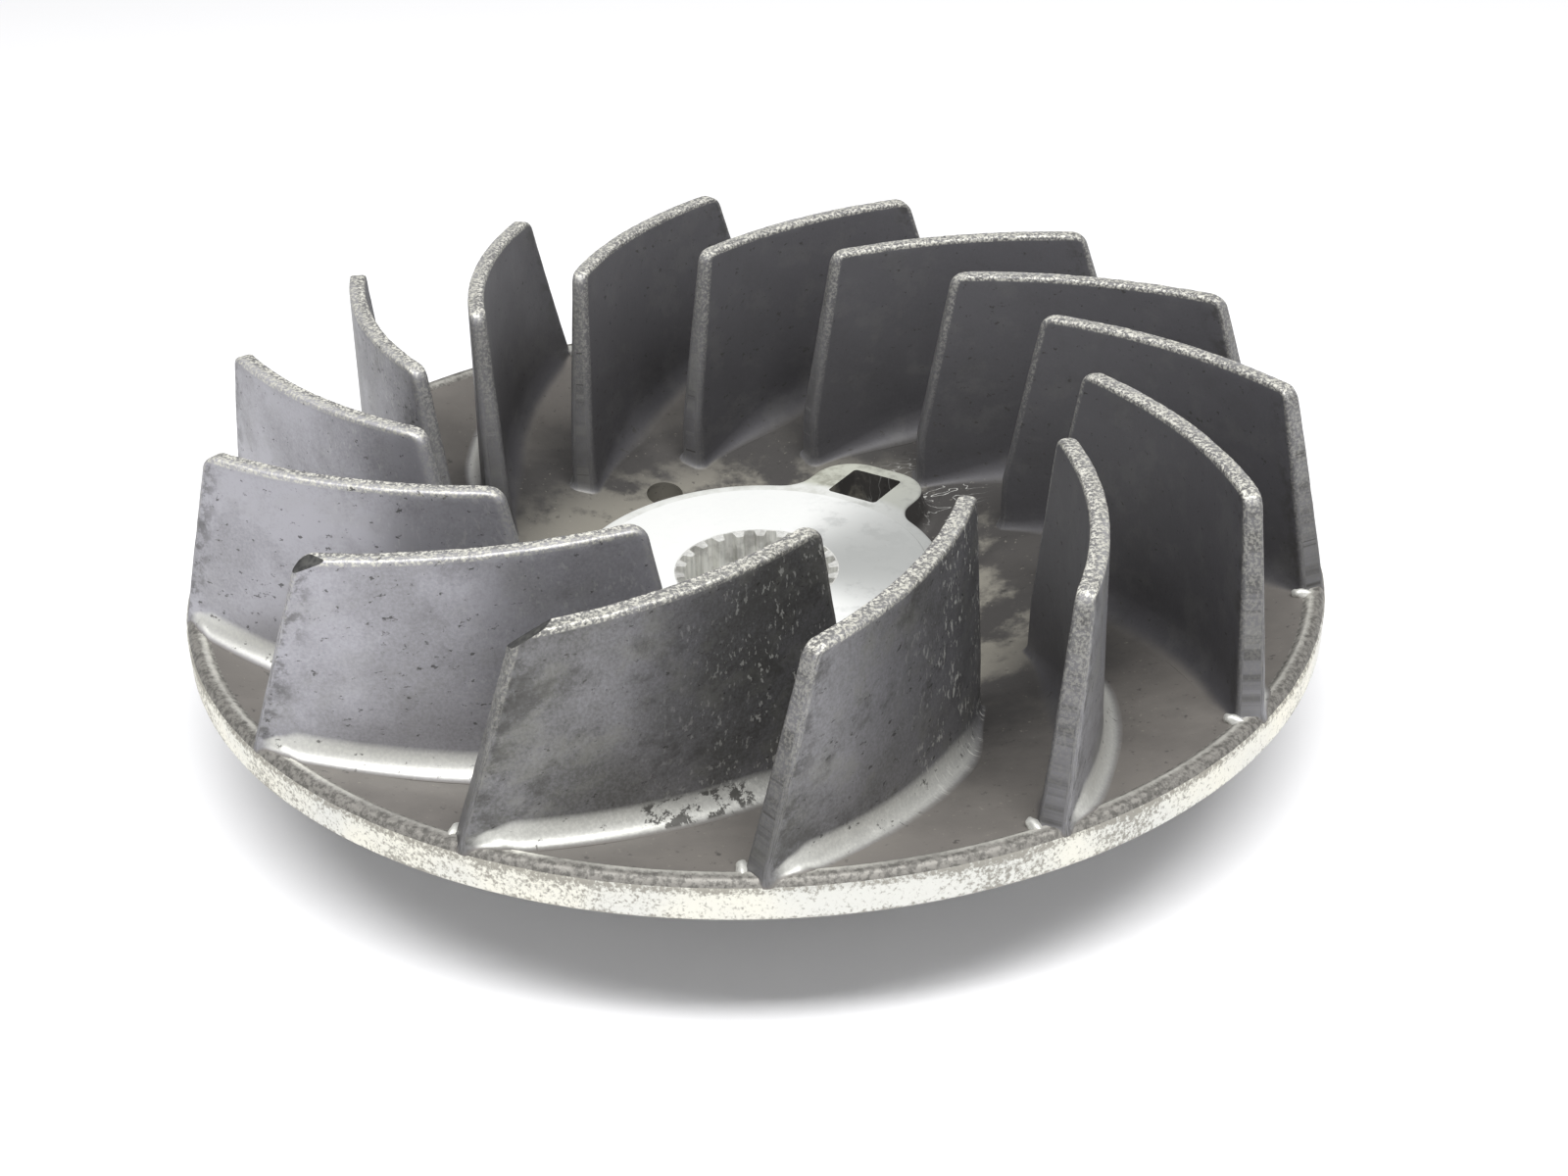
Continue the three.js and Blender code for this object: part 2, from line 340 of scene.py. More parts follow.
def wheelRings():
    outline = collarOutline(0)
    turns = turnsOf(outline)
    count = len(outline)
    even = [turns[0] + 2 * math.pi * index / count for index in range(count)]
    bore, boreEdge = hubHigh.x + wheel["boreGap"], wheel["boreEdge"]
    rim, steps = wheel["rim"], wheel["steps"]

    def circle(radius, level, evenness=0.0):
        return [onCircle(radius, between(turn, flat, evenness), level) for turn, flat in zip(turns, even)]

    def around(inset, lift=None, level=0.0):
        points = collarOutline(inset)
        return [Vector((p.x, p.y, level if lift is None else floorAt(p.length) + lift)) for p in points]

    rings = [circle(bore, beltFace(bore))]
    rings += [circle(bore, collarTop - 3 * boreEdge), circle(bore, collarTop - boreEdge)]
    rings.append(circle(bore + boreEdge, collarTop))
    edge = wheel["collarEdge"]
    rings.append(around(2 * edge, level=collarTop))
    for step in range(steps["edge"] + 1):
        turn = math.pi / 2 * step / steps["edge"]
        rings.append(around(edge * (1 - math.sin(turn)), level=collarTop - edge * (1 - math.cos(turn))))
    # the wall, then its fillet down to the floor
    fillet, draft = wheel["wallFillet"], wheel["wallDraft"]
    for step in range(steps["fillet"] + 1):
        turn = math.pi / 2 * step / steps["fillet"]
        rings.append(around(-draft - fillet * (1 - math.cos(turn)), fillet * (1 - math.sin(turn))))
    # from that outline out to a plain circle
    foot = rings[-1]
    footTurns = turnsOf(foot)
    apronEnd = wheel["collar"] + ear["reach"] + wheel["apron"]
    for step in range(1, steps["apron"] + 1):
        share = step / steps["apron"]
        ring = []
        for spot, turn, flat in zip(foot, footTurns, even):
            radius = between(spot.xy.length, apronEnd, share)
            ring.append(onCircle(radius, between(turn, flat, share), floorAt(radius)))
        rings.append(ring)
    beadFoot = rim - wheel["beadFoot"]
    for step in range(1, steps["floor"] + 1):
        radius = between(apronEnd, beadFoot, step / steps["floor"])
        rings.append(circle(radius, topAt(radius), 1))
    for fromRim in wheel["lipRings"]:
        rings.append(circle(rim - fromRim, topAt(rim - fromRim), 1))
    lowEdge = wheel["bandLowEdge"]
    for step in range(steps["band"] + 1):
        drop = between(wheel["bandEdge"], wheel["bandHeight"] - lowEdge, step / steps["band"])
        rings.append(circle(rim, bandTop - drop, 1))
    rings.append(circle(rim - lowEdge, bandBottom - lowEdge * slope + wheel["lowEdgeLift"], 1))
    for step in range(steps["belt"] + 1):
        share = step / steps["belt"]
        radius = between(rim - wheel["beltOuter"], bore + wheel["beltInner"], share)
        rings.append(circle(radius, beltFace(radius), 1 - share))
    return rings + [rings[0]]


# how far the worn places stay from their neighbours; offFloor only allows for rounding
clear = {
    "offFloor": 0.02,
    "fromCollar": 3,
    "fromLip": 0.5,
    "fromRim": 0.4,
    "fromBelt": 0.1,
}


def wearWheel(bm):
    # the cast floor is a little uneven, and the band's edges are nibbled
    for vert in bm.verts:
        spot = vert.co
        radius = spot.xy.length
        onFloor = abs(spot.z - floorAt(radius)) < clear["offFloor"]
        pastCollar = radius > wheel["collar"] + clear["fromCollar"]
        if onFloor and pastCollar and radius < wheel["rim"] - wheel["beadFoot"] - clear["fromLip"]:
            vert.co.z += noise.noise(spot / 9) * wheel["floorWaves"]
        elif radius > wheel["rim"] - clear["fromRim"] and spot.z > bandBottom + clear["fromBelt"]:
            fromEdge = min(abs(spot.z - bandTop), abs(spot.z - bandBottom))
            bite = max(noise.noise(spot / 1.1), 0) + 0.5 * max(noise.noise(spot / 0.4), 0)
            inward = wheel["bandWear"] * bite * (1 - ease(fromEdge / wheel["bandWearReach"]))
            vert.co.xy *= 1 - inward / radius


finishes = ["floor", "band", "belt", "top", "lip"]

# how near to each surface the middle of a face has to be to have that surface's finish
near = {
    "band": 0.2,
    "belt": 0.3,
    "bore": 0.1,
    "top": 0.25,
    "lip": 0.3,
}


def finishOf(centre):
    # which finish a face of the wheel has
    radius = centre.xy.length
    if radius > wheel["rim"] - near["band"] and centre.z > bandBottom:
        return "band"
    if centre.z < beltFace(radius) + near["belt"] and radius > hubHigh.x + near["bore"]:
        return "belt"
    if centre.z > collarTop - near["top"] and radius < wheel["collar"] + ear["reach"]:
        return "top"
    if radius > wheel["rim"] - wheel["beadFoot"] - near["lip"]:
        return "lip"
    return "floor"


def buildWheel():
    bm = bmesh.new()
    ringShell(bm, wheelRings())
    cleanUp(bm)
    for face in bm.faces:
        face.material_index = finishes.index(finishOf(face.calc_center_median()))
    wearWheel(bm)
    return bm


def squareTool():
    bm = bmesh.new()
    bmesh.ops.create_cube(bm, size=ear["hole"])
    bmesh.ops.scale(bm, vec=(1, 1, 8), verts=bm.verts)
    upright = [edge for edge in bm.edges if abs(edge.verts[0].co.z - edge.verts[1].co.z) > 1]
    bmesh.ops.bevel(bm, geom=upright, offset=ear["holeCorner"], offset_type="OFFSET", affect="EDGES",
                    segments=4, profile=0.5, material=-1)
    centre = wheel["collar"] + ear["reach"] - ear["holeSetBack"]
    bmesh.ops.translate(bm, vec=(centre, 0, 0), verts=bm.verts)
    turn = Matrix.Rotation(math.radians(ear["azimuth"]), 3, "Z")
    bmesh.ops.rotate(bm, cent=(0, 0, 0), matrix=turn, verts=bm.verts)
    return bm


def balanceTool():
    bm = bmesh.new()
    radius = wheel["collar"] + balanceHole["fromCollar"]
    size, depth, lift = balanceHole["radius"], balanceHole["depth"], balanceHole["lift"]
    bmesh.ops.create_cone(bm, cap_ends=True, segments=balanceHole["segments"], radius1=size, radius2=size,
                          depth=depth + 2 * lift)
    spot = onCircle(radius, math.radians(balanceHole["azimuth"]), floorAt(radius) + lift - depth / 2)
    bmesh.ops.translate(bm, vec=spot, verts=bm.verts)
    return bm


def cutAway(piece, bm):
    bmesh.ops.recalc_face_normals(bm, faces=bm.faces)
    bmesh.ops.scale(bm, vec=(mm, mm, mm), verts=bm.verts)
    toolMesh = bpy.data.meshes.new("cutTool")
    bm.to_mesh(toolMesh)
    bm.free()
    tool = bpy.data.objects.new("cutTool", toolMesh)
    bpy.context.scene.collection.objects.link(tool)
    cut = piece.modifiers.new("cut", "BOOLEAN")
    cut.object = tool
    cut.operation = "DIFFERENCE"
    cut.solver = "EXACT"
    graph = bpy.context.evaluated_depsgraph_get()
    whole = piece.data
    piece.data = bpy.data.meshes.new_from_object(piece.evaluated_get(graph))
    piece.modifiers.clear()
    bpy.data.objects.remove(tool)
    bpy.data.meshes.remove(toolMesh)
    bpy.data.meshes.remove(whole)


# finishes of the wheel
castSkin = {
    "light": (0.165, 0.153, 0.140),
    "dark": (0.052, 0.049, 0.047),
    "dust": (0.29, 0.275, 0.232),
    "soot": (0.035, 0.033, 0.031),
    "scratch": (0.65, 0.65, 0.62),
    "metallic": 0.25,
    "pale": (42, 70),       # the skin turns from dark to light between these radii
    "dusty": (48, 31),      # and gathers dust between these
}


def castColour(tree, spot):
    # brown cast skin with pale dust lying round the hub in patches
    radius = fromAxis(tree, spot)
    paleFrom, paleTo = castSkin["pale"]
    dustyFrom, dustyTo = castSkin["dusty"]
    clouds = ramp(tree, grain(tree, spot, 20, 5, 0.6), 0.35, 0.65, 0.0, 0.4)
    tone = maths(tree, "ADD", clouds, ramp(tree, radius, paleFrom * mm, paleTo * mm, -0.3, 0.75))
    colour = mixed(tree, tone, castSkin["dark"], castSkin["light"])
    nearHub = ramp(tree, radius, dustyFrom * mm, dustyTo * mm)
    patches = ramp(tree, grain(tree, spot, 11, 7, 0.62, 3.1), 0.46, 0.60)
    dust = maths(tree, "MULTIPLY", patches, maths(tree, "ADD", maths(tree, "MULTIPLY", nearHub, 0.7), 0.04))
    colour = mixed(tree, dust, colour, castSkin["dust"])
    specks = ramp(tree, grain(tree, spot, 0.8, 3, 0.6, 1.7), 0.66, 0.72)
    colour = mixed(tree, maths(tree, "MULTIPLY", specks, 0.4), colour, castSkin["dust"])
    pits = ramp(tree, grain(tree, spot, 1.1, 4, 0.6, 5.3), 0.63, 0.7)
    return mixed(tree, maths(tree, "MULTIPLY", pits, 0.6), colour, castSkin["soot"])


def castFloor():
    material, tree, shader = newMaterial("castFloor")
    spot = objectSpot(tree)
    colour = mixed(tree, scribbles(tree, spot), castColour(tree, spot), castSkin["scratch"])
    rough = ramp(tree, grain(tree, spot, 9, 4), 0.3, 0.7, 0.5, 0.6)
    paint(tree, shader, colour, rough, castSkin["metallic"])
    relief(tree, shader, [(grain(tree, spot, 6, 3), 0.3, 0.2), (grain(tree, spot, 0.6, 4), 0.45, 0.04)])
    return material


scratched = {
    "pastEar": 3,
    "aside": 8,             # degrees round from the ear's middle
    "outer": 11,            # how far from there the scratches end
    "inner": 4,
}


def scribbles(tree, spot):
    # bright scratches on the floor past the ear's end, where a tool has slipped
    reach = (wheel["collar"] + ear["reach"] + scratched["pastEar"]) * mm
    turn = math.radians(ear["azimuth"] - scratched["aside"])
    level = floorAt(reach / mm) * mm
    away = tree.nodes.new("ShaderNodeVectorMath")
    away.operation = "DISTANCE"
    tree.links.new(spot, away.inputs[0])
    away.inputs[1].default_value = onCircle(reach, turn, level)
    close = ramp(tree, away.outputs["Value"], scratched["outer"] * mm, scratched["inner"] * mm)
    strokes = grain(tree, spot, 4, 2, 0.4, 8.0, (1, 2.5, 1))
    lines = maths(tree, "ABSOLUTE", maths(tree, "SUBTRACT", strokes, 0.5))
    return maths(tree, "MULTIPLY", ramp(tree, lines, 0.012, 0.003, 0.0, 0.8), close)


bandSkin = {
    "warm": (0.79, 0.77, 0.67),
    "grey": (0.68, 0.68, 0.64),
    "pit": (0.30, 0.285, 0.25),
    "edges": (1.1, 2.1),    # the pits grow denser between these distances from the band's middle
}


def rimBand():
    material, tree, shader = newMaterial("rimBand")
    spot = objectSpot(tree)
    middle = (bandTop + bandBottom) / 2 * mm
    offMiddle = maths(tree, "ABSOLUTE", maths(tree, "SUBTRACT", apart(tree, spot)["Z"], middle))
    edgeFrom, edgeTo = bandSkin["edges"]
    nearEdge = ramp(tree, offMiddle, edgeFrom * mm, edgeTo * mm, 0.0, 0.12)
    patches = ramp(tree, grain(tree, spot, 14, 5, 0.6, 2.0), 0.38, 0.65, 0.0, 0.14)
    pitNoise = maths(tree, "ADD", grain(tree, spot, 0.5, 6, 0.7), maths(tree, "ADD", nearEdge, patches))
    pits = ramp(tree, pitNoise, 0.54, 0.70, 0.0, 0.85)
    areas = ramp(tree, grain(tree, spot, 30, 3), 0.4, 0.6)
    colour = mixed(tree, areas, bandSkin["warm"], bandSkin["grey"])
    colour = mixed(tree, pits, colour, bandSkin["pit"])
    paint(tree, shader, colour, ramp(tree, pits, 0, 1, 0.42, 0.7), 0.6)
    relief(tree, shader, [(pitNoise, 0.7, -0.12)])
    return material


beltSkin = {
    "ringStep": 0.42,
    "bright": (0.62, 0.62, 0.61),
    "smear": (0.42, 0.41, 0.40),
    "polished": (0.70, 0.70, 0.69),
    "rubber": (0.10, 0.10, 0.10),
    "trackInner": (34, 42),     # the belt's track fades in and out between these radii
    "trackOuter": (75.5, 71),
}


def turnedBelt():
    # the cone that the belt runs on: turned, then polished and smeared by the belt
    material, tree, shader = newMaterial("turnedBelt")
    spot = objectSpot(tree)
    radius = fromAxis(tree, spot)
    rings = turnedRings(tree, radius, beltSkin["ringStep"])
    fades = [ramp(tree, radius, start * mm, end * mm)
             for start, end in (beltSkin["trackInner"], beltSkin["trackOuter"])]
    track = maths(tree, "MULTIPLY", *fades)
    smears = ramp(tree, grain(tree, spot, 14, 6, 0.6), 0.4, 0.65)
    colour = mixed(tree, smears, beltSkin["bright"], beltSkin["smear"])
    colour = mixed(tree, maths(tree, "MULTIPLY", track, 0.55), colour, beltSkin["polished"])
    rubber = ramp(tree, grain(tree, spot, 5, 6, 0.7, 4.0), 0.56, 0.72, 0.0, 0.7)
    colour = mixed(tree, rubber, colour, beltSkin["rubber"])
    paint(tree, shader, colour, ramp(tree, smears, 0, 1, 0.26, 0.42), 1.0)
    relief(tree, shader, [(rings, 0.25, 0.012), (grain(tree, spot, 0.8, 4), 0.2, 0.02)])
    return material


machined = {
    "ringStep": 0.35,
    "collar": (0.84, 0.85, 0.82),
    "ear": (0.60, 0.61, 0.53),
    "earBlotch": (0.38, 0.38, 0.32),
    "hub": (0.95, 0.96, 0.94),
    "hubBlotch": (0.84, 0.85, 0.84),
    "shadedAzimuth": 8,       # the middle of the painted shade
    # painted shade: the colour the faces turn to on that side
    "dull": (0.38, 0.39, 0.38),
    "speck": (0.25, 0.24, 0.22),
    "metallic": 0.4,
}


def machinedTop(name, tone, earTone, blotch):
    # a faced surface: nearly white metal with fine rings and faint blotches, with painted shade over one
    # part
    material, tree, shader = newMaterial(name)
    spot = objectSpot(tree)
    radius = fromAxis(tree, spot)
    rings = turnedRings(tree, radius, machined["ringStep"])
    blotches = ramp(tree, grain(tree, spot, 4, 6, 0.65), 0.45, 0.68)
    onEar = ramp(tree, radius, wheel["collar"] * mm, (wheel["collar"] + 2) * mm)
    colour = mixed(tree, onEar, tone, earTone)
    colour = mixed(tree, maths(tree, "MULTIPLY", blotches, maths(tree, "ADD", onEar, 0.35)), colour, blotch)
    # how much a place faces the middle of the painted shade, from -1 to 1
    turn = math.radians(machined["shadedAzimuth"])
    parts = apart(tree, spot)
    lean = maths(tree, "ADD", maths(tree, "MULTIPLY", parts["X"], math.cos(turn)),
                 maths(tree, "MULTIPLY", parts["Y"], math.sin(turn)))
    lean = maths(tree, "ADD", maths(tree, "DIVIDE", lean, radius), ramp(tree, blotches, 0, 1, -0.05, 0.05))
    # painted shade over that part, strongest towards its middle
    colour = mixed(tree, ramp(tree, lean, 0.45, 1.0, 0.0, 0.9), colour, machined["dull"])
    specks = ramp(tree, grain(tree, spot, 0.8, 4, 0.6, 2.2), 0.70, 0.76, 0.0, 0.4)
    colour = mixed(tree, specks, colour, machined["speck"])
    paint(tree, shader, colour, ramp(tree, blotches, 0, 1, 0.43, 0.47), machined["metallic"])
    relief(tree, shader, [(rings, 0.12, 0.008), (grain(tree, spot, 1.1, 4), 0.25, 0.02)])
    return material


collarFace = machinedTop("collarFace", machined["collar"], machined["ear"], machined["earBlotch"])


beadSkin = {
    # worn metal along the crest, and a painted highlight there
    "worn": (0.60, 0.59, 0.54),
    "dirt": (0.25, 0.24, 0.22),
    "soot": (0.12, 0.115, 0.105),
    "brightLineWidth": (1.4, 0.6),    # the bright line fades out between these distances from the crest
    "ragged": 1.4,
}


def rimBead():
    # the lip: bright along its inner crest, worn metal with a painted highlight, dirty on its outer slope
    material, tree, shader = newMaterial("rimBead")
    spot = objectSpot(tree)
    crest = (wheel["rim"] - wheel["beadInner"]) * mm
    fromCrest = maths(tree, "ABSOLUTE", maths(tree, "SUBTRACT", fromAxis(tree, spot), crest))
    ragged = maths(tree, "MULTIPLY", grain(tree, spot, 0.9, 6, 0.7), beadSkin["ragged"] * mm)
    fadeOut, fadeIn = beadSkin["brightLineWidth"]
    worn = ramp(tree, maths(tree, "ADD", fromCrest, ragged), fadeOut * mm, fadeIn * mm)
    broken = ramp(tree, grain(tree, spot, 12, 4, 0.5, 2.0), 0.35, 0.6, 0.35, 1.0)
    worn = maths(tree, "MULTIPLY", worn, broken)
    sooty = ramp(tree, grain(tree, spot, 0.7, 6, 0.7), 0.42, 0.6)
    dirt = mixed(tree, sooty, beadSkin["dirt"], beadSkin["soot"])
    # wear and painted highlight along the crest
    colour = mixed(tree, worn, dirt, beadSkin["worn"])
    paint(tree, shader, colour, ramp(tree, worn, 0, 1, 0.58, 0.4), 0.5)
    relief(tree, shader, [(grain(tree, spot, 0.6, 5), 0.5, 0.06)])
    return material


wheelMaterials = [castFloor(), rimBand(), turnedBelt(), collarFace, rimBead()]
wheelPiece = finishPiece("castWheel", buildWheel(), wheelMaterials, ["fan_disc"])
cutAway(wheelPiece, squareTool())
cutAway(wheelPiece, balanceTool())
smoothShade(wheelPiece, 35)
print("cut the square hole and the balance hole")


# the steel hub
hub = {
    "teeth": 22,
    "azimuth": 13.7,        # middle of one groove
    "major": 11.4,
    "minor": 10.2,
    "mouth": 11.6,
    "mouthDrop": 0.3,
    "boss": 20.0,
    "edge": 0.12,
    "bossEdge": 0.5,
    "grooveBottom": 0.25,   # half widths, as shares of the tooth pitch
    "grooveMouth": 0.30,
    "perTooth": 16,
    "faceSteps": 8,
}


def splineRadius(turn):
    pitch = 2 * math.pi / hub["teeth"]
    share = abs(((turn - math.radians(hub["azimuth"])) / pitch + 0.5) % 1 - 0.5)
    climb = ease((share - hub["grooveBottom"]) / (hub["grooveMouth"] - hub["grooveBottom"]))
    return between(hub["major"], hub["minor"], climb)


def hubRings():
    count = hub["teeth"] * hub["perTooth"]
    turns = [2 * math.pi * index / count for index in range(count)]
    top, radius, mouth, edge = hubHigh.z, hubHigh.x, hub["mouth"], hub["edge"]

    def circle(size, level):
        return [onCircle(size, turn, level) for turn in turns]

    def toothed(face, inward):
        ring = []
        for turn in turns:
            size = splineRadius(turn)
            drop = hub["mouthDrop"] * (mouth - size) / (mouth - hub["minor"])
            ring.append(onCircle(size, turn, face + inward * drop))
        return ring

    rings = [toothed(top, -1), circle(mouth, top), circle(mouth + 0.1, top)]
    steps = hub["faceSteps"]
    rings += [circle(between(mouth, radius - edge, step / steps), top) for step in range(1, steps + 1)]
    rings += [circle(radius, top - edge), circle(radius, beltFace(radius))]
    rings += [circle(hub["boss"], beltFace(hub["boss"])), circle(hub["boss"], hub["bossEdge"])]
    rings += [circle(hub["boss"] - hub["bossEdge"], 0), circle(mouth, 0), toothed(0, 1)]
    return rings + [rings[0]]


def buildHub():
    bm = bmesh.new()
    ringShell(bm, hubRings())
    cleanUp(bm)
    for face in bm.faces:
        centre = face.calc_center_median()
        if centre.xy.length < hub["mouth"]:
            face.material_index = 1
    return bm


teethSkin = {
    "bright": (0.95, 0.95, 0.91),
    "streak": (0.70, 0.70, 0.67),
    "stain": (0.30, 0.29, 0.27),
}


def broachedSteel():
    # the teeth: greyer than the face, with streaks along the bore
    material, tree, shader = newMaterial("broachedSteel")
    spot = objectSpot(tree)
    streaks = grain(tree, spot, 0.7, 4, 0.6, 0, (1, 1, 0.06))
    stains = ramp(tree, grain(tree, spot, 3, 5, 0.6), 0.45, 0.65)
    colour = mixed(tree, ramp(tree, streaks, 0.35, 0.65), teethSkin["bright"], teethSkin["streak"])
    colour = mixed(tree, maths(tree, "MULTIPLY", stains, 0.5), colour, teethSkin["stain"])
    paint(tree, shader, colour, ramp(tree, streaks, 0.3, 0.7, 0.35, 0.5), 0.6)
    relief(tree, shader, [(streaks, 0.3, 0.03)])
    return material


hubFace = machinedTop("hubFace", machined["hub"], machined["hub"], machined["hubBlotch"])
finishPiece("steelHub", buildHub(), [hubFace, broachedSteel()], ["splined_hub"], 30)


# the blades
blade = {
    "count": 14,
    "firstAzimuth": 151.29,
    "sweep": 30.42,
    "bow": 0.0724,
    "innerTip": 44.5,       # radius of the inner top corner
    "tipSetBack": 6.75,     # of the outer top corner, in from the rim
    "topThickness": 2.3,
    "draft": 1.4,
    "corner": 1.8,          # rounding of the top corners, seen from the side
    "innerFoot": 4.8,       # how far the foot reaches past the inner top corner, along the blade
    "outerFoot": 8.8,
    "topEdge": 0.45,        # rounding of the top edges, seen along the blade
    "noseInner": 1.0,       # rounding of the ends, seen from above
    "noseOuter": 0.6,
    # width and height of the fillets: beside both ends, and round them
    "filletInner": (3.1, 3.6),
    "filletOuter": (2.2, 3.4),
    "filletNoseInner": (0.8, 1.2),
    "filletNoseOuter": (0.6, 1.0),
    "blendInner": 14.0,     # length along the blade over which a fillet changes to its end's size
    "blendOuter": 4.0,
    "crease": 76,           # degrees the fillet turns before it meets the wall
    "along": 100,
    "up": 14,
    "noseSteps": 5,
    "filletSteps": 8,
    "roundSteps": 5,
    "skirt": 0.5,           # how far the blade reaches down into the floor
    "layers": ["edge", "foot", "toe", "hollow", "flake", "fleck", "outer"],
    "endWear": 0.7,         # the ends are less rubbed than the tops
    "endWearLow": 0.8,      # and less again at their feet, as a share
    "rubbed": 0.8,          # how far down the tops are rubbed bright
    "rubbedEnd": 1.0,       # and how far in from the ends
    "flecked": 24,          # how far out from the inner end the bright nicks reach
    "dirtyEnd": 4,          # how far in from the outer end the dirt reaches
    "cleanFrom": 2,         # from the inner end to where the fillet starts to be clean
    "cleanBlend": 12,
    "cleanEnd": 1.5,
    "flakedBlade": 9,       # counted from 0: its fillet has lost its skin in patches
    "nicks": 0.14,          # how deep the edges are nicked
    "waves": 0.05,          # how uneven the cast walls are
    "hollowShade": 0.92,    # painted shade: the hollow sides are all dark
    "flecks": {8: 1.0, 9: 0.6},     # share of bright nicks, on two blades
    "fewFlecks": 0.15,              # and on the others
    # how dark each blade's convex side is: partly dirt, partly painted shade matching how the blade faces
    # the light
    "grimeAndShade": [0.5, 0.6, 0.45, 0.55, 0.5, 0.6, 0.5, 0.6, 0.72, 0.82, 0.2, 0.1, 0.1, 0.38],
    "fromRim": 0.15,        # the fillet stays this far inside the rim
    "pipRadius": 74.5,      # a small lump at each blade's outer foot, on the hollow side, coloured bright as a painted highlight
    "pipAzimuth": -36.6,    # from the inner top corner
    "pipSize": (1.5, 0.75, 0.8),
    "pipLift": 0.1,
    "pipLumps": 0.2,
}
bladeRise = bladeHigh.z - bandTop


def bladePath():
    sweep = math.radians(blade["sweep"])
    outerTip = wheel["rim"] - blade["tipSetBack"]
    inner = Vector((blade["innerTip"], 0))
    outer = Vector((outerTip * math.cos(sweep), -outerTip * math.sin(sweep)))
    along = outer - inner
    rise = blade["bow"] * along.length
    radius = (along.length ** 2 / 4 + rise * rise) / (2 * rise)
    bowSide = Vector((-along.y, along.x)).normalized()
    centre = (inner + outer) / 2 + bowSide * (rise - radius)
    start = math.atan2(inner.y - centre.y, inner.x - centre.x)
    return centre, radius, start, 2 * math.asin(along.length / 2 / radius) * radius


pathCentre, pathRadius, pathStart, pathLength = bladePath()


def onPath(distance, out):
    turn = pathStart - distance / pathRadius
    size = pathRadius + out
    return Vector((pathCentre.x + size * math.cos(turn), pathCentre.y + size * math.sin(turn)))


def bladeMarks():
    # round a blade seen from above: share along it, which side, and the way its end's rounding faces
    steps, noses = blade["along"], blade["noseSteps"]
    quarter = math.pi / 2
    marks = [(step / steps, 1, 0, 1) for step in range(steps + 1)]
    turns = [(1, 1, quarter * (1 - step / noses)) for step in range(1, noses + 1)]
    turns += [(1, -1, -quarter * step / noses) for step in range(noses)]
    marks += [(share, side, math.cos(turn), math.sin(turn)) for share, side, turn in turns]
    marks += [(1 - step / steps, -1, 0, -1) for step in range(steps + 1)]
    turns = [(0, -1, -quarter * (1 + step / noses)) for step in range(1, noses + 1)]
    turns += [(0, 1, quarter * (2 - step / noses)) for step in range(noses)]
    marks += [(share, side, math.cos(turn), math.sin(turn)) for share, side, turn in turns]
    return marks


marks = bladeMarks()


def bladeSpot(mark, level, shrink=0.0):
    share, side, ahead, across = mark
    drop = bladeHigh.z - level
    lean = min(drop / bladeRise, 1)
    inset = shrink
    if drop < blade["corner"]:
        rise = blade["corner"] - drop
        rounded = blade["corner"] - math.sqrt(blade["corner"] ** 2 - rise ** 2)
        inset = max(shrink, rounded + max(shrink - blade["topEdge"], 0))
    half = blade["topThickness"] / 2 + drop * math.tan(math.radians(blade["draft"])) - shrink
    noseIn = min(blade["noseInner"], half * 0.98)
    noseOut = min(blade["noseOuter"], half * 0.98)
    start = inset - lean * blade["innerFoot"] + noseIn
    end = pathLength - inset + lean * blade["outerFoot"] - noseOut
    nose = noseOut if share > 0.5 else noseIn
    plan = onPath(between(start, end, share) + nose * ahead, side * (half - nose) + nose * across)
    return Vector((plan.x, plan.y, level))


def filletSize(mark):
    # width and height of the fillet at one place round the blade
    share = mark[0]
    nearOuter = 1 - ease((1 - share) * pathLength / blade["blendOuter"])
    nearInner = 1 - ease(share * pathLength / blade["blendInner"])
    sizes = []
    for inner, outer, noseIn, noseOut in zip(blade["filletInner"], blade["filletOuter"],
                                             blade["filletNoseInner"], blade["filletNoseOuter"]):
        side = between(inner, outer, ease((share - 0.2) / 0.7))
        sizes.append(between(between(side, noseOut, nearOuter), noseIn, nearInner))
    return sizes


def creaseRing():
    # where the walls meet the fillet, and the way out from the wall at each place
    ring = []
    for mark in marks:
        level = bandTop
        for attempt in range(3):
            spot = bladeSpot(mark, level)
            level = topAt(min(spot.xy.length, wheel["rim"])) + filletSize(mark)[1]
        ring.append(bladeSpot(mark, level))
    outward = []
    for index in range(len(ring)):
        along = ring[(index + 1) % len(ring)] - ring[index - 1]
        outward.append(Vector((-along.y, along.x, 0)).normalized())
    middle = onPath(pathLength / 2, 0)
    if outward[50].xy.dot(ring[50].xy - middle) < 0:
        outward = [-way for way in outward]
    return ring, outward


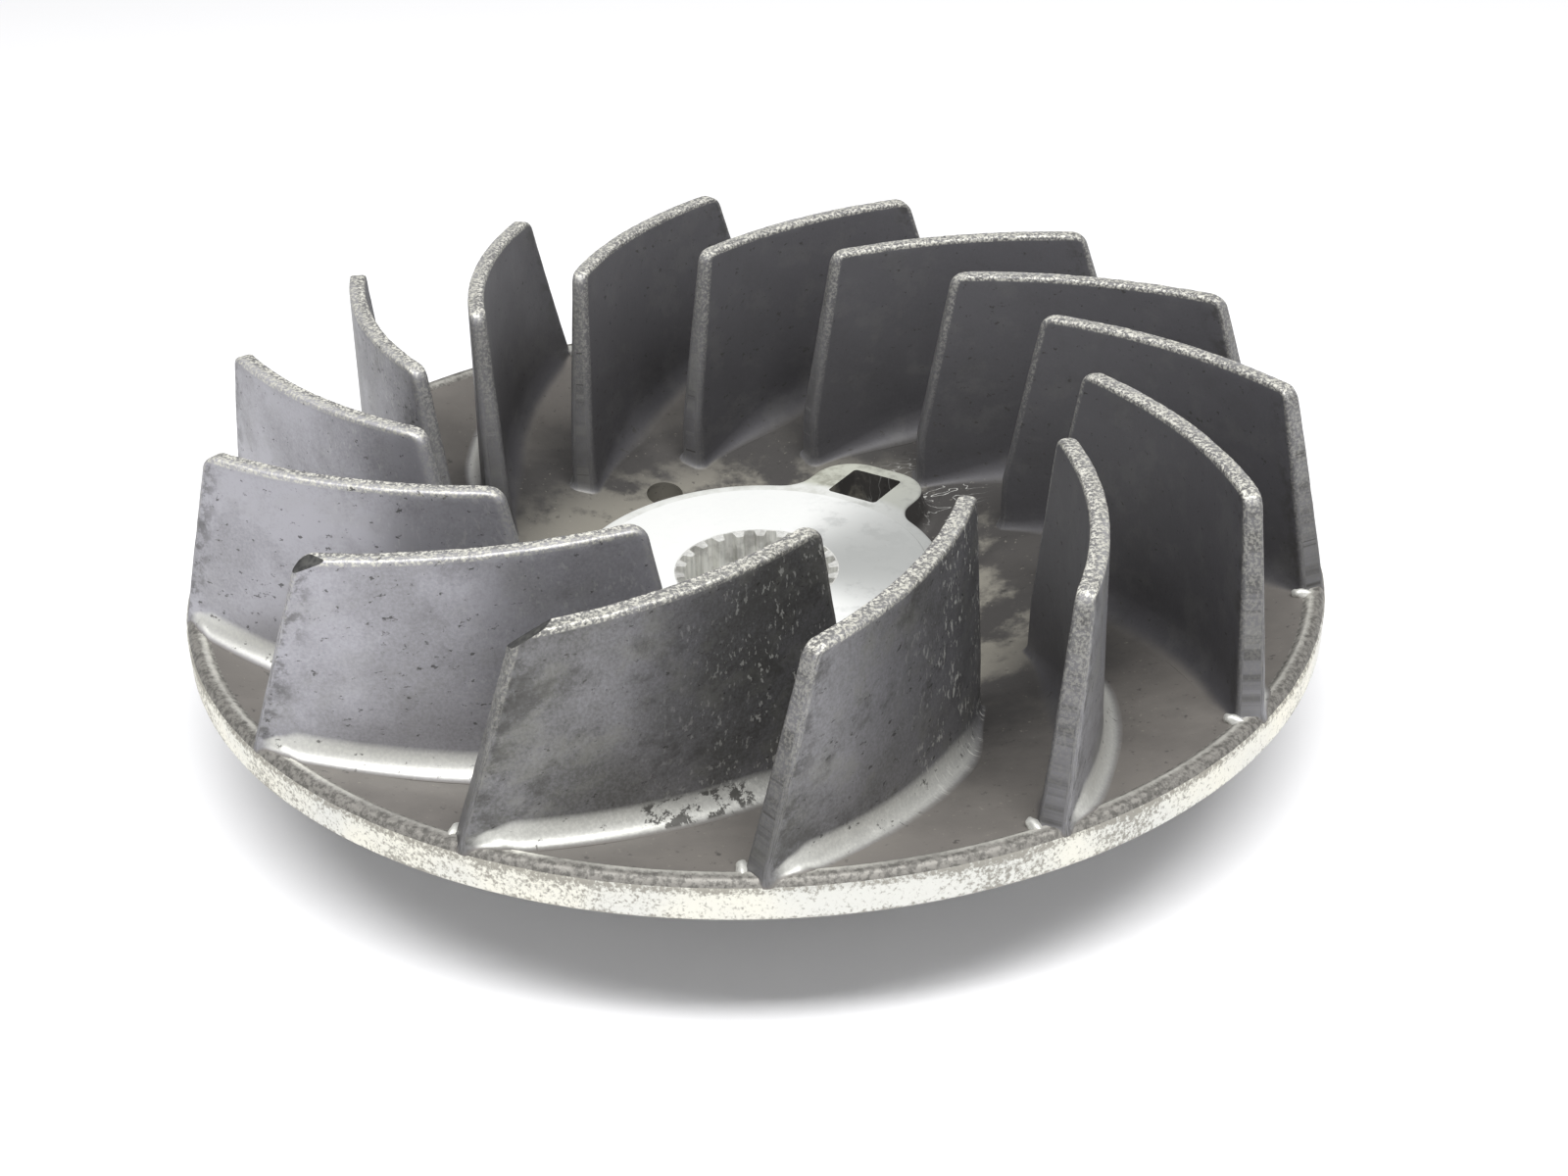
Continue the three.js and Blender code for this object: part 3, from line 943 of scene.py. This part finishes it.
def bladeRings():
    crease = math.radians(blade["crease"])
    top, rounding, corner = bladeHigh.z, blade["topEdge"], blade["corner"]
    steps, edge = blade["filletSteps"], wheel["rim"] - blade["fromRim"]
    foot, outward = creaseRing()
    rings = []
    for step in range(-1, steps):
        turn = crease * max(step, 0) / steps
        ring = []
        for mark, spot, way in zip(marks, foot, outward):
            width, rise = filletSize(mark)
            plan = spot + way * width * (1 - math.sin(turn) / math.sin(crease))
            if plan.xy.length > edge:
                plan.xy *= edge / plan.xy.length
            lift = -blade["skirt"]
            if step >= 0:
                lift = rise * (1 - math.cos(turn)) / (1 - math.cos(crease))
            ring.append(Vector((plan.x, plan.y, topAt(plan.xy.length) + lift)))
        rings.append(ring)
    rings.append(foot)
    for step in range(1, blade["up"] + 1):
        share = step / blade["up"]
        rings.append([bladeSpot(mark, between(spot.z, top - corner, share))
                      for mark, spot in zip(marks, foot)])
    turns = [math.pi / 2 * step / blade["roundSteps"] for step in range(1, blade["roundSteps"] + 1)]
    for turn in turns:
        level = top - between(corner, rounding, math.sin(turn))
        rings.append([bladeSpot(mark, level) for mark in marks])
    for turn in turns:
        level = top - rounding * (1 - math.sin(turn))
        rings.append([bladeSpot(mark, level, rounding * (1 - math.cos(turn))) for mark in marks])
    rings.append([bladeSpot(mark, top, rounding + 0.3) for mark in marks])
    return rings


def markBlade(bm, made):
    # how worn, clean or dirty each place is, and where the convex fillets carry a painted highlight, kept
    # on the points for the material
    edge, foot, toe, hollow, flake, fleck, outer = [bm.verts.layers.float[name] for name in blade["layers"]]
    wall = bm.verts.layers.float_vector["wall"]
    for number, verts in enumerate(made):
        for mark, vert in zip(marks, verts):
            share, _, ahead, across = mark
            fromInner, fromOuter = share * pathLength, (1 - share) * pathLength
            fromTop = bladeHigh.z - vert.co.z - blade["topEdge"]
            nearEnd = 1 if ahead else 1 - ease(min(fromInner, fromOuter) / blade["rubbedEnd"])
            nearEnd *= between(blade["endWearLow"], 1, ease((vert.co.z - bandTop) / bladeRise))
            vert[edge] = max(nearEnd * blade["endWear"], 1 - ease(fromTop / blade["rubbed"]))
            vert[hollow] = 0.5 - across * 0.5
            vert[fleck] = ease(1.2 - fromInner / blade["flecked"]) * (1 - vert[hollow])
            vert[outer] = 1 - ease(fromOuter / blade["dirtyEnd"])
            vert[wall] = Vector((fromInner, vert.co.z, 30 * across)) * mm
            # climb: from 0 at the floor to 1 where the fillet meets the wall
            climb = max(number - 1, 0) / blade["filletSteps"]
            # the convex side's fillet: cleaner skin, and a painted highlight
            clean = max(across, 0) * ease((fromInner - blade["cleanFrom"]) / blade["cleanBlend"])
            clean *= ease(fromOuter / blade["cleanEnd"])
            vert[foot] = clean * ease(climb / 0.4) * ease((blade["filletSteps"] + 1 - number) / 1.5)
            vert[toe] = 1 - ease(climb / between(0.5, 0.3, clean))
            vert[flake] = vert[foot] * ease((share - 0.2) / 0.25) * ease((0.75 - share) / 0.2)


def addPip(bm):
    # the lump at the blade's outer foot, painted bright all over as a highlight
    made = bmesh.ops.create_icosphere(bm, subdivisions=3, radius=1)["verts"]
    bmesh.ops.scale(bm, vec=blade["pipSize"], verts=made)
    for vert in made:
        vert.co += vert.normal * noise.noise(vert.co * 1.5) * blade["pipLumps"]
        # painted highlight: the lump takes the bright fillet colour
        vert[bm.verts.layers.float["foot"]] = 1.0
    turn = math.radians(blade["pipAzimuth"])
    bmesh.ops.rotate(bm, cent=(0, 0, 0), matrix=Matrix.Rotation(turn, 3, "Z"), verts=made)
    radius = blade["pipRadius"]
    bmesh.ops.translate(bm, vec=onCircle(radius, turn, topAt(radius) + blade["pipLift"]), verts=made)


def plainBlade():
    bm = bmesh.new()
    for name in blade["layers"] + ["grimeAndShade"]:
        bm.verts.layers.float.new(name)
    bm.verts.layers.float_vector.new("wall")
    made = ringShell(bm, bladeRings())
    bm.faces.new(made[0])
    bm.faces.new(made[-1])
    markBlade(bm, made)
    bmesh.ops.recalc_face_normals(bm, faces=bm.faces)
    addPip(bm)
    return bm


def wearBlade(bm, number):
    # cast waves on the walls and nicks along the edges, different on every blade
    layers = bm.verts.layers.float
    wall = bm.verts.layers.float_vector["wall"]
    bm.normal_update()
    for vert in bm.verts:
        spot = vert.co + Vector((0, 0, 40.0 * number))
        nick = max(noise.noise(spot / 1.7), 0) * 0.7 + max(noise.noise(spot / 0.6), 0) * 0.5
        edge = vert[layers["edge"]]
        sheltered = max(vert[layers["foot"]], vert[layers["toe"]])
        wave = noise.noise(spot / 11) * blade["waves"] * (1 - sheltered)
        vert.co += vert.normal * (wave - abs(wave) * edge - nick * edge * blade["nicks"])
        onHollow = vert[layers["hollow"]]
        # dirt on each blade, and painted shade on the hollow sides
        vert[layers["grimeAndShade"]] = between(blade["grimeAndShade"][number], blade["hollowShade"], onHollow)
        vert[layers["fleck"]] *= blade["flecks"].get(number, blade["fewFlecks"])
        vert[wall] += Vector((0.11, 0.07, 0.05)) * number
        if number != blade["flakedBlade"]:
            vert[layers["flake"]] = 0


def cutFacet(bm, spot, facing, materialIndex):
    # a flat broken off a corner
    geom = bm.verts[:] + bm.edges[:] + bm.faces[:]
    cut = bmesh.ops.bisect_plane(bm, geom=geom, dist=0.0001, plane_co=spot, plane_no=facing,
                                 clear_outer=True)
    edges = [item for item in cut["geom_cut"] if isinstance(item, bmesh.types.BMEdge)]
    for face in bmesh.ops.edgenet_fill(bm, edges=edges)["faces"]:
        face.material_index = materialIndex


# knocked corners, by blade counted from 0: a place, back from the outer top corner, out from the middle
# and down from the top, and the way the broken face looks
damage = {
    10: {"back": 2.2, "out": 1.15, "down": 0.7, "ahead": 0.32, "aside": 0.5, "up": 0.8},
    9: {"back": 2.2, "out": 1.1, "down": 0.35, "ahead": 0.40, "aside": -0.27, "up": 0.87},
}


def damageBlade(bm, number):
    if number not in damage:
        return
    flaw = damage[number]
    spot = onPath(pathLength - flaw["back"], flaw["out"])
    ahead = (onPath(pathLength, 0) - onPath(pathLength - 1, 0)).normalized()
    aside = (onPath(pathLength, 1) - onPath(pathLength, 0)).normalized()
    facing = Vector((ahead.x * flaw["ahead"] + aside.x * flaw["aside"],
                     ahead.y * flaw["ahead"] + aside.y * flaw["aside"], flaw["up"]))
    cutFacet(bm, Vector((spot.x, spot.y, bladeHigh.z - flaw["down"])), facing.normalized(), 1)
    bmesh.ops.recalc_face_normals(bm, faces=bm.faces)


bladeSkin = {
    "clean": (0.385, 0.381, 0.412),
    # the colour of dirt, used also for the painted shade on the hollow sides
    "grimyAndShaded": (0.120, 0.119, 0.115),
    # painted shade on the hollow sides: lighter at the top, darker at the foot
    "hollowTop": (0.098, 0.096, 0.106),
    "hollowFoot": (0.060, 0.058, 0.064),
    "stain": (0.045, 0.043, 0.039),
    "dusty": (0.25, 0.25, 0.225),
    "worn": (0.62, 0.61, 0.55),
    # the convex fillets' colour: cleaner skin and a painted highlight
    "foot": (0.66, 0.66, 0.62),
    "scratch": (0.85, 0.85, 0.80),
}


def castBlade():
    material, tree, shader = newMaterial("castBlade")
    spot, wall = objectSpot(tree), attribute(tree, "wall", "Vector")
    edge, foot, toe = attribute(tree, "edge"), attribute(tree, "foot"), attribute(tree, "toe")
    grimeAndShade, hollow = attribute(tree, "grimeAndShade"), attribute(tree, "hollow")
    clouds = grain(tree, spot, 16, 5, 0.6)
    fine = grain(tree, spot, 0.4, 4, 0.65, 2.0)
    # darker with dirt, and on the hollow sides with painted shade
    dirty = maths(tree, "ADD", grimeAndShade, ramp(tree, clouds, 0.3, 0.7, -0.2, 0.2))
    dirty = maths(tree, "ADD", dirty, ramp(tree, fine, 0.3, 0.7, -0.12, 0.12))
    colour = mixed(tree, dirty, bladeSkin["clean"], bladeSkin["grimyAndShaded"])
    # painted shade: the hollow sides are all dark, most of all low down
    low = ramp(tree, apart(tree, spot)["Z"], discHigh.z * mm, bladeHigh.z * mm)
    low = maths(tree, "ADD", low, ramp(tree, clouds, 0.3, 0.7, -0.2, 0.2))
    shaded = mixed(tree, low, bladeSkin["hollowFoot"], bladeSkin["hollowTop"])
    colour = mixed(tree, maths(tree, "MULTIPLY", hollow, 0.9), colour, shaded)
    # half dirty walls are patchy, with blots of old oil and dust between them
    halfDirty = ramp(tree, grimeAndShade, 0, 0.7, 0.25, 1.0)
    patchy = maths(tree, "MULTIPLY", halfDirty, ramp(tree, hollow, 0, 1, 1.0, 0.2))
    dusty = ramp(tree, grain(tree, wall, 6, 8, 0.65, 4.0), 0.5, 0.64)
    dusty = maths(tree, "MULTIPLY", dusty, maths(tree, "MULTIPLY", patchy, 0.4))
    colour = mixed(tree, dusty, colour, bladeSkin["dusty"])
    blots = ramp(tree, grain(tree, wall, 7, 9, 0.74, 1.0), 0.51, 0.66)
    blots = maths(tree, "MULTIPLY", blots, maths(tree, "MULTIPLY", patchy, 0.6))
    colour = mixed(tree, blots, colour, bladeSkin["stain"])
    outer = attribute(tree, "outer")
    edgeDirt = ramp(tree, grain(tree, wall, 2.5, 7, 0.7, 5.0), 0.46, 0.6)
    edgeDirt = maths(tree, "MULTIPLY", outer, edgeDirt)
    colour = mixed(tree, maths(tree, "MULTIPLY", edgeDirt, 0.6), colour, bladeSkin["stain"])
    # the convex side's fillets are lighter, from cleaner skin and from a painted highlight where they face
    # the light, but for flakes of skin that have come off one
    footShare = maths(tree, "MULTIPLY", foot, ramp(tree, fine, 0.3, 0.62, 1.0, 0.8))
    colour = mixed(tree, footShare, colour, bladeSkin["foot"])
    flakes = ramp(tree, grain(tree, wall, 2.2, 9, 0.75, 7.0), 0.53, 0.56)
    flakes = maths(tree, "MULTIPLY", ramp(tree, attribute(tree, "flake"), 0.2, 0.7), flakes)
    colour = mixed(tree, maths(tree, "MULTIPLY", flakes, 0.92), colour, bladeSkin["stain"])
    # bright metal where the edges are rubbed
    rubbed = maths(tree, "MULTIPLY", ramp(tree, edge, 0.5, 1.0), ramp(tree, fine, 0.44, 0.60, 0.1, 1.0))
    colour = mixed(tree, rubbed, colour, bladeSkin["worn"])
    dents = ramp(tree, grain(tree, wall, 1.2, 5, 0.65, 6.0, (1, 1.3, 1)), 0.62, 0.68, 0.0, 0.75)
    colour = mixed(tree, dents, colour, bladeSkin["stain"])
    # small bright nicks, most of them near two blades' inner ends
    nicks = ramp(tree, grain(tree, wall, 0.6, 3, 0.6, 9.0, (1, 0.45, 1)), 0.58, 0.63)
    nicks = maths(tree, "MULTIPLY", nicks, ramp(tree, grain(tree, wall, 5, 3, 0.5, 4.0), 0.40, 0.55))
    nicks = maths(tree, "MULTIPLY", nicks, attribute(tree, "fleck"))
    colour = mixed(tree, nicks, colour, bladeSkin["scratch"])
    # at the toe of the fillet the blade turns into the floor
    colour = mixed(tree, toe, colour, castColour(tree, spot))
    rough = ramp(tree, clouds, 0.3, 0.7, 0.40, 0.50)
    rough = maths(tree, "ADD", rough, maths(tree, "MULTIPLY", dents, 0.15))
    matt = maths(tree, "MAXIMUM", maths(tree, "MAXIMUM", toe, edge), hollow)
    rough = maths(tree, "ADD", rough, maths(tree, "MULTIPLY", matt, 0.14))
    stained = maths(tree, "MAXIMUM", blots, flakes)
    dull = maths(tree, "MAXIMUM", stained, maths(tree, "MAXIMUM", toe, hollow))
    paint(tree, shader, colour, rough, ramp(tree, dull, 0, 1, 0.55, castSkin["metallic"]))
    relief(tree, shader, [(grain(tree, spot, 5, 3), 0.3, 0.2), (fine, 0.5, 0.04), (flakes, 0.6, -0.08)])
    return material


brokenSkin = {
    "dark": (0.035, 0.035, 0.035),
    "light": (0.08, 0.08, 0.075),
}


def brokenMetal():
    # where a corner was knocked off: dull and rough
    material, tree, shader = newMaterial("brokenMetal")
    spot = objectSpot(tree)
    lumps = grain(tree, spot, 0.8, 5, 0.6)
    colour = mixed(tree, ramp(tree, lumps, 0.35, 0.65), brokenSkin["dark"], brokenSkin["light"])
    paint(tree, shader, colour, ramp(tree, lumps, 0.3, 0.7, 0.5, 0.65), 0.4)
    relief(tree, shader, [(lumps, 0.6, 0.1)])
    return material


bladeMaterials = [castBlade(), brokenMetal()]
pattern = plainBlade()
for number in range(blade["count"]):
    bm = pattern.copy()
    turn = math.radians(blade["firstAzimuth"] - 360 / blade["count"] * number)
    damageBlade(bm, number)
    wearBlade(bm, number)
    bmesh.ops.rotate(bm, cent=(0, 0, 0), matrix=Matrix.Rotation(turn, 3, "Z"), verts=bm.verts)
    label = f"{number + 1:02d}"
    finishPiece("castBlade" + label, bm, bladeMaterials, ["blade_" + label], 40)
pattern.free()
print("made the blades")


# camera, light and floor
cameraSetup = {
    "lens": 47.26,
    "sensor": 36,
    "distance": 4.004,      # in rim radii
    "elevation": 29.98,     # degrees
    "tilt": 1.15,           # degrees, about the line of sight
    "aimRight": 0.0490,     # in rim radii from the wheel's axis
    "aimAway": 0.2096,
    "aimUp": -0.2131,       # in rim radii from the top of the rim band
}
studio = {
    "skyStrength": 0.38,
    "topSpot": (0.02, -0.42, 1.2),
    "topSize": (1.4, 0.35),
    "topPower": 27,
    "table": (0.82, 0.82, 0.83),
    "tableRoughness": 0.6,
    "tableReach": 3,
}


def addCamera():
    setup = cameraSetup
    radius = wheel["rim"] * mm
    aim = Vector((setup["aimRight"], setup["aimAway"], setup["aimUp"])) * radius
    aim.z += bandTop * mm
    rise = math.radians(setup["elevation"])
    back = Vector((0, -math.cos(rise), math.sin(rise)))
    turn = Matrix.Rotation(math.radians(90 - setup["elevation"]), 4, "X")
    roll = Matrix.Rotation(math.radians(-setup["tilt"]), 4, "Z")
    data = bpy.data.cameras.new("mainCamera")
    data.lens = setup["lens"]
    data.sensor_width = setup["sensor"]
    camera = bpy.data.objects.new("mainCamera", data)
    camera.matrix_world = Matrix.Translation(aim + back * setup["distance"] * radius) @ turn @ roll
    bpy.context.scene.collection.objects.link(camera)
    bpy.context.scene.camera = camera


def addTable():
    bm = bmesh.new()
    bmesh.ops.create_grid(bm, x_segments=1, y_segments=1, size=studio["tableReach"])
    mesh = bpy.data.meshes.new("table")
    bm.to_mesh(mesh)
    bm.free()
    material, _, shader = newMaterial("tablePaint")
    shader.inputs["Base Color"].default_value = (*studio["table"], 1)
    shader.inputs["Roughness"].default_value = studio["tableRoughness"]
    mesh.materials.append(material)
    table = bpy.data.objects.new("table", mesh)
    bpy.context.scene.collection.objects.link(table)


def addSoftbox():
    # one wide box of light above, turned to face the wheel
    spot = Vector(studio["topSpot"])
    data = bpy.data.lights.new("topBox", "AREA")
    data.shape = "RECTANGLE"
    data.size, data.size_y = studio["topSize"]
    data.energy = studio["topPower"]
    lamp = bpy.data.objects.new("topBox", data)
    lamp.matrix_world = Matrix.Translation(spot) @ spot.to_track_quat("Z", "Y").to_matrix().to_4x4()
    bpy.context.scene.collection.objects.link(lamp)


def addSky():
    world = bpy.data.worlds.new("studio")
    bpy.context.scene.world = world
    world.use_nodes = True
    background = world.node_tree.nodes["Background"]
    background.inputs["Color"].default_value = (1, 1, 1, 1)
    background.inputs["Strength"].default_value = studio["skyStrength"]


addCamera()
addTable()
addSky()
addSoftbox()
print("set up the camera, the table and the light")
